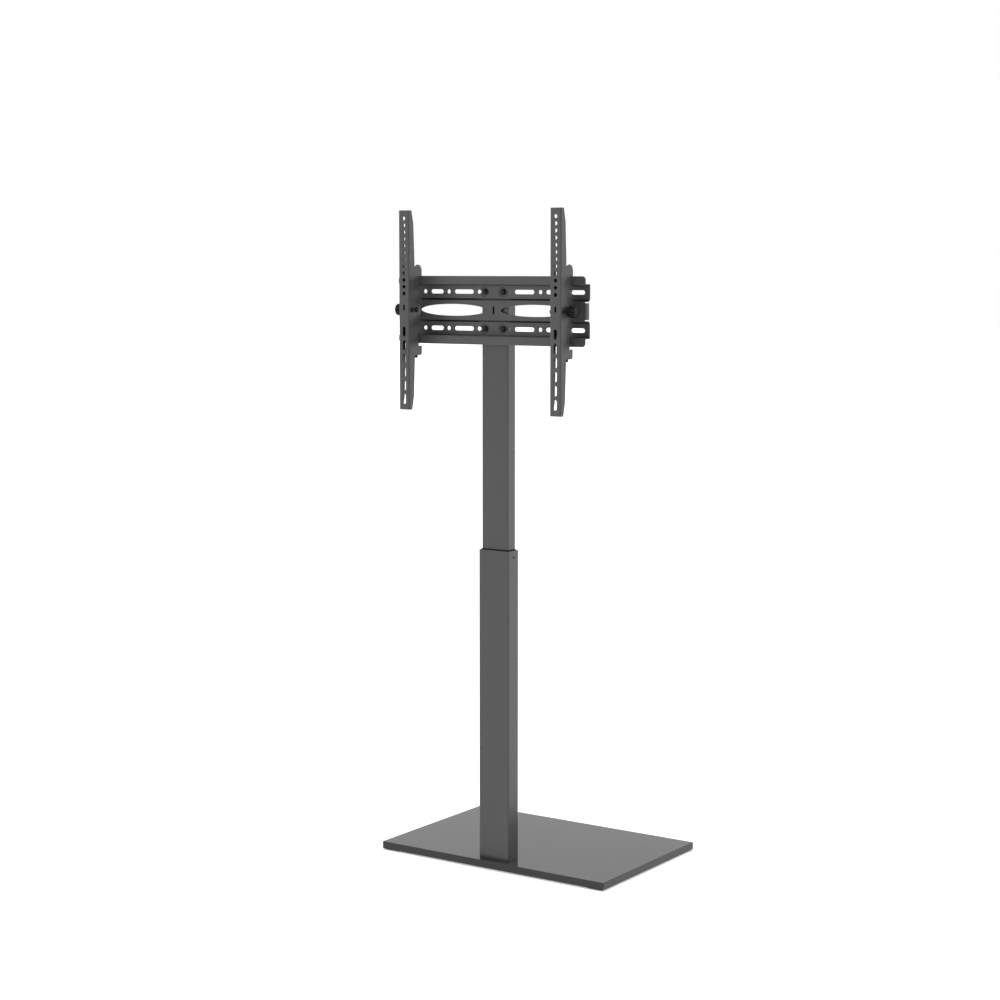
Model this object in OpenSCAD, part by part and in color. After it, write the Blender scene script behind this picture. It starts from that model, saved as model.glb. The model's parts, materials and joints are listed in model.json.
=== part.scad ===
// Floor stand with a flat base plate, a two-part telescopic column and a
// tilting screen mount that hangs on a pressed steel rail.
// Millimetres, +Z up, the stand faces -Y, the floor is at z = 0.
// Head dimensions called "depth" are measured back from the front face of the arms.

/* [Base plate] */
// Width of the base plate
base_w = 602; // [500:2:760]
// Depth of the base plate
base_d = 400; // [340:10:520]
// Thickness of the base plate
base_t = 16.5; // [8:0.5:20]
// Radius of the plate's four corners
base_corner_r = 2; // [1.5:0.5:12]
// Chamfer along the upper edges of the plate
base_chamfer = 0.8; // [0.4:0.1:1.5]
// Distance from the plate's front edge to the middle of the column
column_set_back = 39; // [36:1:180]

/* [Foot pads] */
// Length of one foot pad
pad_l = 40; // [24:1:60]
// Width of one foot pad
pad_w = 20; // [12:1:30]
// Height of one foot pad
pad_h = 3; // [2:0.5:6]
// Gap between a pad and the edges of the plate
pad_inset = 5; // [3:1:15]

/* [Outer tube] */
// Width of the outer tube
outer_w = 80; // [78:1:84]
// Depth of the outer tube
outer_d = 40; // [38:1:44]
// Gap between the base plate and the lower end of the outer tube
foot_gap = 0.5; // [0.5:0.5:3]
// Length of the outer tube
outer_len = 702.5; // [640:0.5:740]
// Wall of the outer tube
outer_wall = 2; // [1.5:0.1:2.2]
// Outside corner radius of both tubes
tube_r = 3; // [2.5:0.1:4]

/* [Inner tube] */
// Width of the inner tube
inner_w = 70; // [68:1:71]
// Depth of the inner tube
inner_d = 30; // [28:1:31]
// Length of the inner tube
inner_len = 900; // [800:5:1000]
// Wall of the inner tube
inner_wall = 2; // [1.5:0.1:2.4]
// Height of the middle of the rail above the floor at rest
rail_z = 1253.5; // [1200:0.5:1300]
// Distance from the top of the inner tube up to the top edge of the rail
tube_below_rail_top = 8; // [4:1:14]

/* [Column fittings] */
// Thickness of the foot plate inside the outer tube
foot_plate_t = 8; // [6:1:12]
// Diameter of the countersunk base bolts
base_bolt_d = 8; // [6:1:8]
// Half the spacing of the base bolts across the column
base_bolt_x = 25; // [20:1:27]
// Half the spacing of the base bolts along the depth
base_bolt_y = 8; // [7:1:9]
// Height of the plastic guide collar
collar_h = 30; // [24:1:45]
// Height of the collar's thin lip above the outer tube
collar_lip_h = 2.5; // [1:0.5:4]
// Thickness of the collar's lip round the inner tube
collar_lip_t = 1.2; // [0.8:0.1:1.5]
// Diameter of the small screws that hold the collar
collar_screw_d = 6; // [4:0.5:6]
// Depth of the collar screws below the top of the outer tube
collar_screw_drop = 15; // [10:1:20]
// Height of the plastic glide on the lower end of the inner tube
glide_h = 12; // [8:1:20]
// Length of the plugs of the glide and of the top cap inside the tube
plug_l = 16; // [10:1:30]
// Thickness of the rim of the top cap
cap_rim_t = 2; // [1:0.5:3]
// Running gap between each plastic guide and the tube that slides in it
guide_gap = 0.3; // [0.2:0.05:0.5]
// Fitting gap round pieces that are fixed inside a tube
fit_gap = 0.1; // [0.05:0.05:0.2]

/* [Height clamp] */
// Depth of the clamp screw below the top of the outer tube
clamp_drop = 60; // [50:1:120]
// Diameter of the clamp screw
clamp_d = 8; // [6:1:10]
// Diameter of the welded clamp boss
boss_d = 20; // [16:1:24]
// Length of the welded clamp boss
boss_l = 10; // [8:1:18]
// Diameter over the lobes of the clamp knob
clamp_knob_d = 32; // [28:1:44]
// Thickness of the clamp knob's star
clamp_knob_t = 12; // [10:1:20]
// Length of the collar behind the clamp knob's star
clamp_neck_l = 4; // [3:1:14]

/* [Rail] */
// Length of the rail
rail_len = 494; // [482:1:520]
// Height of the rail
rail_h = 150; // [146:1:154]
// Sheet thickness of the rail
sheet_t = 2; // [1.5:0.1:2.5]
// Height of the upper and lower lips
lip_h = 17.5; // [15:0.5:18.5]
// Step between the front of the lips and the front of the slotted bands
web_step = 18; // [15:0.5:22]
// Height of the raised middle panel
panel_h = 38; // [34:1:42]
// How far the middle panel stands forward of the bands
panel_rise = 2; // [1:0.5:3]
// Width of the pressed groove on each side of the panel
bead_w = 7; // [6:0.5:8]
// How far the grooves are pressed back behind the bands
bead_depth = 1.5; // [1:0.25:2.5]
// Inside bend radius of the sheet
bend_r = 1.2; // [0.8:0.1:1.6]
// Radius of the outer corners of the lips
lip_corner_r = 8; // [5:1:10]
// Cut-back of the panel at each end of the rail
panel_cut_back = 7.5; // [6:0.5:14]
// Depth of the flange bent back at each end of the panel
end_flange_l = 12; // [10:0.5:18]
// Length of the slanted corners of the bands next to the panel's ends
notch_slant = 4.5; // [3:0.5:5]

/* [Rail openings] */
// Spacing of the two rows of slots
row_pitch = 81; // [79:1:83]
// Width of the slots and diameter of the round holes
slot_w = 9.5; // [8:0.5:11]
// Middle of the innermost round hole from the middle of the rail
hole_a_x = 39.5; // [38:0.5:42]
// Middle of the inner slot from the middle of the rail
slot_a_x = 80; // [78:0.5:82]
// Length of the inner slot
slot_a_l = 51.5; // [46:0.5:56]
// Middle of the second round hole from the middle of the rail
hole_b_x = 121.5; // [120:0.5:123]
// Middle of the middle slot from the middle of the rail
slot_b_x = 153; // [151:0.5:155]
// Length of the middle slot
slot_b_l = 34; // [30:0.5:38]
// Middle of the third round hole from the middle of the rail
hole_c_x = 186; // [184:0.5:188]
// Middle of the outer slot from the middle of the rail
slot_c_x = 218; // [216:0.5:219]
// Length of the outer slot
slot_c_l = 34.5; // [32:0.5:39]
// Middle of each oval cable opening from the middle of the rail
oval_x = 108; // [104:1:112]
// Half the length of the oval cable opening
oval_a = 88.5; // [70:0.5:92]
// Half the height of the oval cable opening
oval_b = 13; // [9:0.5:15]
// Height of the upright sighting slot in the middle of the panel
sight_h = 18; // [10:1:24]
// Width of the upright sighting slot
sight_w = 5; // [3:0.5:7]

/* [Rail bolts] */
// Diameter of the bolts that hold the rail on the column
rail_bolt_d = 6; // [5:1:8]
// Half the spacing of the rail bolts across the column
rail_bolt_x = 24; // [22:0.5:25]
// Width across the flats of the bolt heads and nuts
hex_af = 10; // [9:0.5:13]
// Height of the bolt heads
hex_h = 4; // [3.5:0.1:6]
// Height of the nuts
nut_h = 5; // [4:0.5:8]
// Diameter of the washers
washer_d = 14; // [13:0.5:18]
// Thickness of the washers
washer_t = 1.2; // [1:0.1:2.5]
// Diameter of the round seats pressed back round the bolts
seat_d = 20; // [19:0.5:22]
// Radial clearance of a bolt shank in a plain hole
hole_play = 0.25; // [0.2:0.05:0.4]
// Radial clearance of a screw in its thread
thread_play = 0.05; // [0.03:0.01:0.08]

/* [Arms] */
// Spacing of the two arms, hole line to hole line
arm_pitch = 400; // [300:10:420]
// Height of the top of the arm above the tilt pivot
arm_rise = 219; // [212:1:230]
// Width of an arm across its face
arm_w = 28; // [27:0.5:34]
// Depth of the arm's side flanges
flange_d = 21.5; // [20:0.5:22]
// Depth of the flanges at the ends of the arm
flange_end_d = 11; // [8:0.5:13]
// Distance from the end of the arm over which the flange runs in quickly
flange_run = 30; // [20:1:50]
// Distance from the end of the arm where the flange reaches its full depth
flange_full = 110; // [80:1:120]
// Depth of the front lips of the rail behind the arm face
lip_depth = 44; // [42:0.5:50]
// Diameter of the round fixing holes
arm_hole_d = 8.2; // [6.4:0.2:8.8]
// Spacing of the round fixing holes
arm_hole_pitch = 15; // [14:0.5:16]
// Number of round fixing holes
arm_holes = 12; // [8:1:12]
// Distance from the top of the arm to the first hole
arm_hole_top = 18; // [14:0.5:22]
// Length of the fixing slots
arm_slot_l = 22; // [20:0.5:25]
// Spacing of the fixing slots
arm_slot_pitch = 30; // [29:0.5:34]
// Number of fixing slots
arm_slots = 6; // [4:1:6]
// Distance from the first hole down to the lowest slot, middle to middle
arm_reach = 399; // [380:1:430]
// Distance from the middle of the lowest slot to the lower end of the arm
arm_end = 24; // [20:0.5:30]
// Length of the small slot beside the pivot
arm_key_l = 13; // [8:1:16]
// Height of the small slot above the pivot
arm_key_z = 5; // [0:0.5:8]

/* [Tilt] */
// Depth of the tilt pivot behind the arm face
pivot_y = 10.5; // [10:0.25:11]
// Diameter of the pivot bolts
pivot_d = 6; // [5:0.5:6]
// Radial running clearance of the arm on its pivot bolt
pivot_play = 0.05; // [0.03:0.01:0.08]
// Distance from the pivot to the tilt lock bolt
lock_r = 16; // [15:0.5:17]
// Diameter of the tilt lock bolts
lock_d = 6; // [5:0.5:6]
// Width of the curved slot over the lock bolt
lock_slot_w = 6.8; // [6.6:0.1:7.4]
// Tilt of the arm top towards the viewer that the curved slot allows
tilt_fwd = 10; // [6:1:11]
// Tilt of the arm top away from the viewer that the curved slot allows
tilt_back = 5; // [2:1:8]
// Radius of the lobe round the curved slot
lobe_r = 11; // [10:0.5:12]
// Half the height of the lobe where it leaves the flange
lobe_run = 30; // [24:1:40]
// Diameter of the tilt knobs
knob_d = 26; // [22:0.5:30]
// Length of the tilt knobs
knob_l = 21; // [14:0.5:24]
// Number of flutes of the tilt knobs
knob_flutes = 12; // [8:1:16]

/* [Hook brackets] */
// Thickness of the bracket's sheet
bracket_t = 2; // [1.5:0.1:2.5]
// Gap between the bracket's side plates and the arm's flanges
side_gap = 0.5; // [0.4:0.1:1]
// Depth of the front web of the bracket behind the arm face
web_y = 23; // [22:0.5:26]
// Radius of the pivot lobe of the bracket
pivot_lobe_r = 8; // [7:0.25:8.2]
// Radius of the round ear over the rail
ear_r = 13.5; // [12:0.5:14]
// Height of the ear's centre above the top edge of the rail
ear_rise = 11.5; // [10:0.5:14]
// Thickness of the hook finger behind the lip
finger_t = 5; // [3.5:0.5:6]
// Reach of the hook finger down behind the lip
finger_l = 11; // [8:0.5:12]
// Clearance of the hook round the lip
hook_gap = 0.3; // [0.2:0.05:0.5]
// Half the height of the middle of the bracket that reaches in between the lips
tab_h = 45; // [36:1:48]
// Rear edge of the middle of the bracket behind the arm face
tab_depth = 47; // [45:0.5:50]
// Length of the bracket below the lower edge of the rail
tail_l = 26.5; // [24:0.5:32]
// Height of the foot at the end of the tail
tail_foot_h = 21; // [16:1:22]
// Radius of the rounded lower corner of the tail
tail_r = 6; // [4:0.5:7]
// Diameter of the safety screws
safety_d = 5; // [4:0.5:6]
// Diameter of the heads of the safety screws
safety_head_d = 7; // [6.5:0.5:10]
// Height of the heads of the safety screws
safety_head_h = 6; // [3:0.5:7]

/* [Hidden] */

$fn = 48;
eps = 0.01;
steel = "#3c3e40";
dark_steel = "#242527";
plastic = "#1b1c1d";
rubber = "#141414";

// Heights
base_top = pad_h + base_t;
outer_bottom = base_top + foot_gap;
outer_top = outer_bottom + outer_len;
rail_top = rail_h / 2;
tube_top = rail_z + rail_top - tube_below_rail_top;
tube_bottom = tube_top - inner_len;

// Depths of the rail's faces behind the arm face
band_y = lip_depth + web_step;
panel_y = band_y - panel_rise;
column_face = band_y + bead_depth + sheet_t;

// The front of the arms and the rear of the base are equally far from y = 0
column_y = (column_face + inner_d / 2 - (base_d - column_set_back)) / 2;
arm_face_y = column_y - inner_d / 2 - column_face;

// Inside of the tubes
outer_bore_w = outer_w - 2 * outer_wall;
outer_bore_d = outer_d - 2 * outer_wall;
inner_bore_w = inner_w - 2 * inner_wall;
inner_bore_d = inner_d - 2 * inner_wall;
outer_bore_r = tube_r - outer_wall;
inner_bore_r = tube_r - inner_wall;

// Along the arms
arm_len = arm_hole_top + arm_reach + arm_end;
arm_bottom = arm_rise - arm_len;
arm_middle = arm_rise - arm_len / 2;

// Across the arms
arm_in = arm_w / 2 - sheet_t;
plate_out = arm_in - side_gap;
plate_in = plate_out - bracket_t;
head_gap = 0.3;
bolt_seat_x = arm_w / 2 + head_gap;
lock_y = pivot_y + lock_r;

// Tilt bolts, across the arm from its middle
small_af = 10;
small_nut_h = 4;
pivot_head_h = 3;
lock_washer_t = 1.2;
knob_x = bolt_seat_x + lock_washer_t + head_gap;

// A straight edge runs to a circle this much smaller than the one it meets, so the two cross
touch_inset = 0.1;

// Shared placing

module on_column() {
    translate([0, column_y, 0]) children();
}

module on_head() {
    translate([0, arm_face_y, rail_z]) children();
}

// Places an arm's pieces, side -1 is the arm at -X and its outer side is mirrored
module on_arm(side) {
    on_head() translate([side * arm_pitch / 2, 0, 0]) scale_side(side) children();
}

module scale_side(side) {
    if (side < 0) mirror([1, 0, 0]) children();
    else children();
}

// Plain shapes

module rounded_rect(w, d, r) {
    square([w - 2 * r, d], center = true);
    square([w, d - 2 * r], center = true);
    for (x = [-1, 1], y = [-1, 1])
        translate([x * (w / 2 - r), y * (d / 2 - r)]) circle(r);
}

module rounded_bar(w, d, h, r) {
    linear_extrude(h) rounded_rect(w, d, r);
}

module tube(w, d, h, wall) {
    difference() {
        rounded_bar(w, d, h, tube_r);
        translate([0, 0, -1]) rounded_bar(w - 2 * wall, d - 2 * wall, h + 2, tube_r - wall);
    }
}

// Slot along X in the XY plane, l is its length over the round ends
module slot_2d(l, w) {
    square([l - w, w], center = true);
    for (x = [-1, 1]) translate([x * (l - w) / 2, 0]) circle(w / 2);
}

// Cylinder along Y from y to y + l
module rod_y(d, y, l) {
    translate([0, y, 0]) rotate([-90, 0, 0]) cylinder(d = d, h = l);
}

// Cylinder along X from x to x + l
module rod_x(d, x, l) {
    translate([x, 0, 0]) rotate([0, 90, 0]) cylinder(d = d, h = l);
}

// Hexagon along Y from y to y + l
module hex_y(af, y, l) {
    translate([0, y, 0]) rotate([-90, 0, 0]) cylinder(d = af / cos(30), h = l, $fn = 6);
}

// Hexagon along X from x to x + l
module hex_x(af, x, l) {
    translate([x, 0, 0]) rotate([0, 90, 0]) cylinder(d = af / cos(30), h = l, $fn = 6);
}

// Outline drawn in (depth, height) and given a thickness along X from x to x + t
module side_plate(x, t) {
    translate([x, 0, 0]) rotate([90, 0, 90]) linear_extrude(t) children();
}

// Sheet outline helpers

function unit(v) = v / norm(v);
function left_of(v) = [-v[1], v[0]];

// Centre line with every inner corner replaced by an arc of n chords
function corner_arc(a, b, c, r, n) =
    let (
        u = unit(a - b),
        v = unit(c - b),
        half = acos(u * v) / 2,
        reach = r / tan(half),
        start = b + u * reach,
        turn = cross(-u, v) > 0 ? 1 : -1,
        centre = start + turn * r * left_of(-u),
        sweep = 180 - 2 * half
    )
    [for (i = [0 : n])
        let (w = start - centre, q = turn * sweep * i / n)
        centre + [w[0] * cos(q) - w[1] * sin(q), w[0] * sin(q) + w[1] * cos(q)]];

function rounded_path(p, r, n) = [
    p[0],
    for (i = [1 : len(p) - 2])
        each corner_arc(p[i - 1], p[i], p[i + 1], r, n),
    p[len(p) - 1]
];

// Offset of a centre line to one side, mitred at every point
function side_point(p, i, s) =
    let (
        m = len(p) - 1,
        u = i == 0 ? unit(p[1] - p[0]) : unit(p[i] - p[i - 1]),
        v = i == m ? u : unit(p[i + 1] - p[i]),
        n = unit(left_of(u) + left_of(v))
    )
    p[i] + n * s / (n * left_of(u));

function sheet_outline(p, t) = concat(
    [for (i = [0 : len(p) - 1]) side_point(p, i, t / 2)],
    [for (i = [len(p) - 1 : -1 : 0]) side_point(p, i, -t / 2)]
);

// Upper half of the rail's section from the lip to the panel, (depth, height)
mid = sheet_t / 2;
rail_half = [
    [lip_depth + mid, rail_top],
    [lip_depth + mid, rail_top - lip_h],
    [band_y + mid, rail_top - lip_h],
    [band_y + mid, panel_h / 2 + bead_w],
    [band_y + mid + bead_depth, panel_h / 2 + bead_w - bead_depth],
    [band_y + mid + bead_depth, panel_h / 2 + bead_depth],
    [panel_y + mid, panel_h / 2 - panel_rise / 2]
];
rail_path = concat(
    rail_half,
    [for (i = [len(rail_half) - 1 : -1 : 0]) [rail_half[i][0], -rail_half[i][1]]]
);
panel_end_x = rail_len / 2 - panel_cut_back;

// Base

module base_bolt_places() {
    for (x = [-1, 1], y = [-1, 1])
        translate([x * base_bolt_x, y * base_bolt_y, 0]) children();
}

module base_plate_centre() {
    translate([0, column_y - column_set_back + base_d / 2, 0]) children();
}

module countersunk(d, play) {
    cone_h = d / 2;
    cylinder(d1 = 2 * (d + play), d2 = d + 2 * play, h = cone_h);
}

// Chamfer prism along X, cut from an upper edge at y = 0
module chamfer_prism(l, c) {
    translate([-l / 2, 0, 0]) rotate([90, 0, 90])
        linear_extrude(l) polygon([[-c, 1], [-c, 0], [0, -c], [1, -c], [1, 1]]);
}

module base_plate() {
    color(steel) difference() {
        base_plate_centre() difference() {
            translate([0, 0, pad_h]) rounded_bar(base_w, base_d, base_t, base_corner_r);
            for (s = [0, 180]) {
                rotate(s) translate([0, base_d / 2, base_top]) chamfer_prism(base_w, base_chamfer);
                rotate(s) translate([base_w / 2, 0, base_top]) rotate(-90)
                    chamfer_prism(base_d, base_chamfer);
            }
        }
        on_column() base_bolt_places() {
            translate([0, 0, pad_h - eps]) countersunk(base_bolt_d, hole_play);
            translate([0, 0, pad_h - 1]) cylinder(d = base_bolt_d + 2 * hole_play, h = base_t + 2);
        }
    }
}

module foot_pads() {
    color(rubber) base_plate_centre()
        for (x = [-1, 1], y = [-1, 1])
            translate([
                x * (base_w / 2 - pad_inset - pad_l / 2),
                y * (base_d / 2 - pad_inset - pad_w / 2),
                0
            ])
            rounded_bar(pad_l, pad_w, pad_h, 3);
}

module base_bolts() {
    socket_af = 5;
    socket_h = 2.5;
    color(dark_steel) on_column() base_bolt_places() difference() {
        union() {
            translate([0, 0, pad_h]) countersunk(base_bolt_d, 0);
            translate([0, 0, pad_h]) cylinder(d = base_bolt_d, h = base_t + foot_plate_t);
        }
        translate([0, 0, pad_h - eps]) cylinder(d = socket_af / cos(30), h = socket_h, $fn = 6);
    }
}

module foot_plate() {
    color(steel) on_column() translate([0, 0, base_top]) difference() {
        rounded_bar(outer_bore_w - 2 * fit_gap, outer_bore_d - 2 * fit_gap, foot_plate_t, outer_bore_r);
        base_bolt_places() translate([0, 0, -1])
            cylinder(d = base_bolt_d + 2 * thread_play, h = foot_plate_t + 2);
    }
}

// Column

clamp_z = outer_top - clamp_drop;
collar_screw_z = outer_top - collar_screw_drop;

module outer_tube() {
    color(steel) on_column() difference() {
        translate([0, 0, outer_bottom]) tube(outer_w, outer_d, outer_len, outer_wall);
        translate([0, 0, collar_screw_z])
            rod_x(collar_screw_d + 2 * thread_play, -outer_w, 2 * outer_w);
        translate([0, 0, clamp_z])
            rod_y(clamp_d + 2 * hole_play, outer_bore_d / 2 - 1, outer_wall + 2);
    }
}

module guide_collar() {
    hole_w = inner_w + 2 * guide_gap;
    hole_d = inner_d + 2 * guide_gap;
    full_h = collar_h + collar_lip_h;
    lip_r = tube_r + collar_lip_t;
    color(plastic) on_column() difference() {
        translate([0, 0, outer_top - collar_h]) difference() {
            union() {
                rounded_bar(
                    outer_bore_w - 2 * fit_gap, outer_bore_d - 2 * fit_gap,
                    collar_h, outer_bore_r
                );
                rounded_bar(hole_w + 2 * collar_lip_t, hole_d + 2 * collar_lip_t, full_h, lip_r);
            }
            translate([0, 0, -1]) rounded_bar(hole_w, hole_d, full_h + 2, tube_r);
        }
        translate([0, 0, collar_screw_z])
            rod_x(collar_screw_d + 2 * thread_play, -outer_w, 2 * outer_w);
    }
}

module collar_screws() {
    screw_l = outer_w / 2 - inner_w / 2 - 2 * guide_gap;
    socket_af = collar_screw_d / 2;
    socket_h = 2;
    color(dark_steel) on_column() translate([0, 0, collar_screw_z])
        for (s = [-1, 1]) scale_side(s) difference() {
            rod_x(collar_screw_d, outer_w / 2 - screw_l, screw_l);
            hex_x(socket_af, outer_w / 2 - socket_h, socket_h + 1);
        }
}

module clamp_boss() {
    color(steel) on_column() translate([0, 0, clamp_z]) difference() {
        rod_y(boss_d, outer_d / 2, boss_l);
        rod_y(clamp_d + 2 * thread_play, outer_d / 2 - 1, boss_l + 2);
    }
}

// Star knob: a rim cut by round flutes, a raised hub and a screw that reaches the inner tube
module clamp_knob() {
    lobes = 6;
    neck_d = 0.45 * clamp_knob_d;
    hub_d = 0.6 * clamp_knob_d;
    hub_t = 2;
    flute_d = 0.32 * clamp_knob_d;
    flute_x = 0.56 * clamp_knob_d;
    neck_y = outer_d / 2 + boss_l + head_gap + hub_t;
    star_y = neck_y + clamp_neck_l;
    tip_y = inner_d / 2 + guide_gap;
    color(plastic) on_column() translate([0, 0, clamp_z]) difference() {
        union() {
            rod_y(clamp_d, tip_y, star_y - tip_y);
            rod_y(neck_d, neck_y, clamp_neck_l);
            rod_y(clamp_knob_d, star_y, clamp_knob_t);
            translate([0, star_y + clamp_knob_t, 0]) rotate([-90, 0, 0])
                cylinder(d1 = hub_d, d2 = hub_d - 2 * hub_t, h = hub_t);
        }
        for (i = [0 : lobes - 1])
            rotate([0, 360 / lobes * i, 0]) translate([flute_x, 0, 0])
                rod_y(flute_d, star_y - 1, clamp_knob_t + 2);
    }
}

module inner_tube() {
    color(steel) on_column() difference() {
        translate([0, 0, tube_bottom]) tube(inner_w, inner_d, inner_len, inner_wall);
        rail_bolt_places() rod_y(rail_bolt_d + 2 * hole_play, -inner_d / 2 - 1, inner_wall + 2);
    }
}

module tube_glide() {
    color(plastic) on_column() {
        translate([0, 0, tube_bottom - glide_h])
            rounded_bar(
                outer_bore_w - 2 * guide_gap, outer_bore_d - 2 * guide_gap,
                glide_h, outer_bore_r
            );
        translate([0, 0, tube_bottom])
            rounded_bar(inner_bore_w - 2 * fit_gap, inner_bore_d - 2 * fit_gap, plug_l, inner_bore_r);
    }
}

module top_cap() {
    color(plastic) on_column() {
        translate([0, 0, tube_top]) rounded_bar(inner_w, inner_d, cap_rim_t, tube_r);
        translate([0, 0, tube_top - plug_l])
            rounded_bar(inner_bore_w - 2 * fit_gap, inner_bore_d - 2 * fit_gap, plug_l, inner_bore_r);
    }
}

// Rail

// Places something at the four rail bolts, in column coordinates
module rail_bolt_places() {
    for (x = [-1, 1], z = [-1, 1])
        translate([x * rail_bolt_x, 0, rail_z + z * row_pitch / 2]) children();
}

module lip_corner_cut(s, v) {
    r = lip_corner_r;
    translate([s * (rail_len / 2 - r), lip_depth + mid, v * (rail_top - r)]) rotate([90, 0, 0])
        linear_extrude(2 * sheet_t, center = true) difference() {
            translate([s > 0 ? 0 : -2 * r, v > 0 ? 0 : -2 * r]) square(2 * r);
            circle(r);
        }
}

// Row of holes and slots on one side of the middle of the rail
module slot_row() {
    for (x = [hole_a_x, hole_b_x, hole_c_x]) translate([x, 0]) circle(slot_w / 2);
    translate([slot_a_x, 0]) slot_2d(slot_a_l, slot_w);
    translate([slot_b_x, 0]) slot_2d(slot_b_l, slot_w);
    translate([slot_c_x, 0]) slot_2d(slot_c_l, slot_w);
}

// Cut at one end of the panel as (across, height), with slanted corners
module panel_notch_2d() {
    half = panel_h / 2 + bead_depth;
    past = rail_len / 2 + 1;
    slant_x = rail_len / 2 - notch_slant;
    slant_z = half + 1.4 * (notch_slant + 1);
    polygon([
        [panel_end_x, -half], [slant_x, -half], [past, -slant_z],
        [past, slant_z], [slant_x, half], [panel_end_x, half]
    ]);
}

function oval(a, b, n) = [for (i = [0 : n - 1]) [a * cos(360 * i / n), b * sin(360 * i / n)]];

module rail() {
    cut_l = 4 * sheet_t;
    color(steel) on_head() difference() {
        union() {
            difference() {
                side_plate(-rail_len / 2, rail_len)
                    polygon(sheet_outline(rounded_path(rail_path, bend_r + mid, 3), sheet_t));
                for (s = [-1, 1], v = [-1, 1]) lip_corner_cut(s, v);
                for (s = [0, 1]) mirror([s, 0, 0])
                    translate([0, panel_y + web_step, 0]) rotate([90, 0, 0])
                        linear_extrude(web_step + 1) panel_notch_2d();
            }
            for (s = [0, 1]) mirror([s, 0, 0])
                translate([panel_end_x - sheet_t, panel_y, -panel_h / 2 + 1])
                    cube([sheet_t, end_flange_l, panel_h - 2]);
            for (x = [-1, 1], z = [-1, 1])
                translate([x * rail_bolt_x, 0, z * row_pitch / 2])
                    rod_y(seat_d + 2 * sheet_t, band_y + mid, mid + bead_depth);
        }
        for (x = [-1, 1], z = [-1, 1])
            translate([x * rail_bolt_x, 0, z * row_pitch / 2]) {
                rod_y(seat_d, band_y - 1, 1 + bead_depth);
                rod_y(rail_bolt_d + 2 * hole_play, band_y, cut_l);
            }
        for (s = [0, 1], z = [-1, 1]) mirror([s, 0, 0])
            translate([0, band_y + cut_l / 2, z * row_pitch / 2]) rotate([90, 0, 0])
                linear_extrude(cut_l) slot_row();
        for (s = [-1, 1])
            translate([s * oval_x, panel_y + cut_l / 2, 0]) rotate([90, 0, 0])
                linear_extrude(cut_l) polygon(oval(oval_a, oval_b, 64));
        translate([0, panel_y + cut_l / 2, 0]) rotate([90, 90, 0])
            linear_extrude(cut_l) slot_2d(sight_h, sight_w);
    }
}

seat_y = -inner_d / 2 - sheet_t;

module rail_bolts() {
    shank_l = hex_h + washer_t + sheet_t + inner_wall + nut_h + 2;
    color(dark_steel) on_column() rail_bolt_places() {
        hex_y(hex_af, seat_y - washer_t - hex_h, hex_h);
        rod_y(rail_bolt_d, seat_y - washer_t - hex_h + 1, shank_l);
    }
}

module rail_washers() {
    color(dark_steel) on_column() rail_bolt_places() difference() {
        rod_y(washer_d, seat_y - washer_t, washer_t);
        rod_y(rail_bolt_d + 2 * thread_play, seat_y - washer_t - 1, washer_t + 2);
    }
}

module rail_nuts() {
    color(dark_steel) on_column() rail_bolt_places() difference() {
        hex_y(hex_af, -inner_bore_d / 2, nut_h);
        rod_y(rail_bolt_d + 2 * thread_play, -inner_bore_d / 2 - 1, nut_h + 2);
    }
}

// Arms

// Point just inside a circle at c where a line from p meets it, on the side given by s
function touch(p, c, r, s) =
    let (
        d = p - c,
        base = atan2(d[1], d[0]),
        q = base + s * acos((r - touch_inset) / norm(d))
    )
    c + (r - touch_inset) * [cos(q), sin(q)];

// Side flange of an arm as (depth, height)
module arm_flange_2d() {
    run_share = 0.66;
    run_d = flange_end_d + (flange_d - flange_end_d) * run_share;
    centre = [lock_y, 0];
    top = touch([flange_d, lobe_run], centre, lobe_r, -1);
    polygon([
        [0, arm_bottom], [flange_end_d, arm_bottom],
        [run_d, arm_bottom + flange_run],
        [flange_d, arm_bottom + flange_full],
        [flange_d, -lobe_run], [top[0], -top[1]],
        [lock_y, 0],
        top, [flange_d, lobe_run],
        [flange_d, arm_rise - flange_full],
        [run_d, arm_rise - flange_run],
        [flange_end_d, arm_rise], [0, arm_rise]
    ]);
    translate(centre) circle(lobe_r);
}

// Curved slot about the pivot, its round ends are a hair narrower than the slot
module lock_slot(l) {
    from = -tilt_fwd;
    to = tilt_back;
    end_d = lock_slot_w - touch_inset;
    translate([-l / 2, pivot_y, 0]) rotate([90, 0, 90]) {
        rotate(from) rotate_extrude(angle = to - from)
            translate([lock_r - lock_slot_w / 2, 0]) square([lock_slot_w, l]);
        for (a = [from, to]) rotate(a) translate([lock_r, 0, 0]) cylinder(d = end_d, h = l);
    }
}

module arm_face_holes() {
    first = arm_rise - arm_hole_top;
    key_w = 5;
    for (i = [0 : arm_holes - 1])
        translate([0, first - i * arm_hole_pitch]) circle(arm_hole_d / 2);
    for (i = [0 : arm_slots - 1])
        translate([0, first - arm_reach + i * arm_slot_pitch]) rotate(90)
            slot_2d(arm_slot_l, arm_hole_d);
    translate([0, arm_key_z]) rotate(90) slot_2d(arm_key_l, key_w);
}

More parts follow.
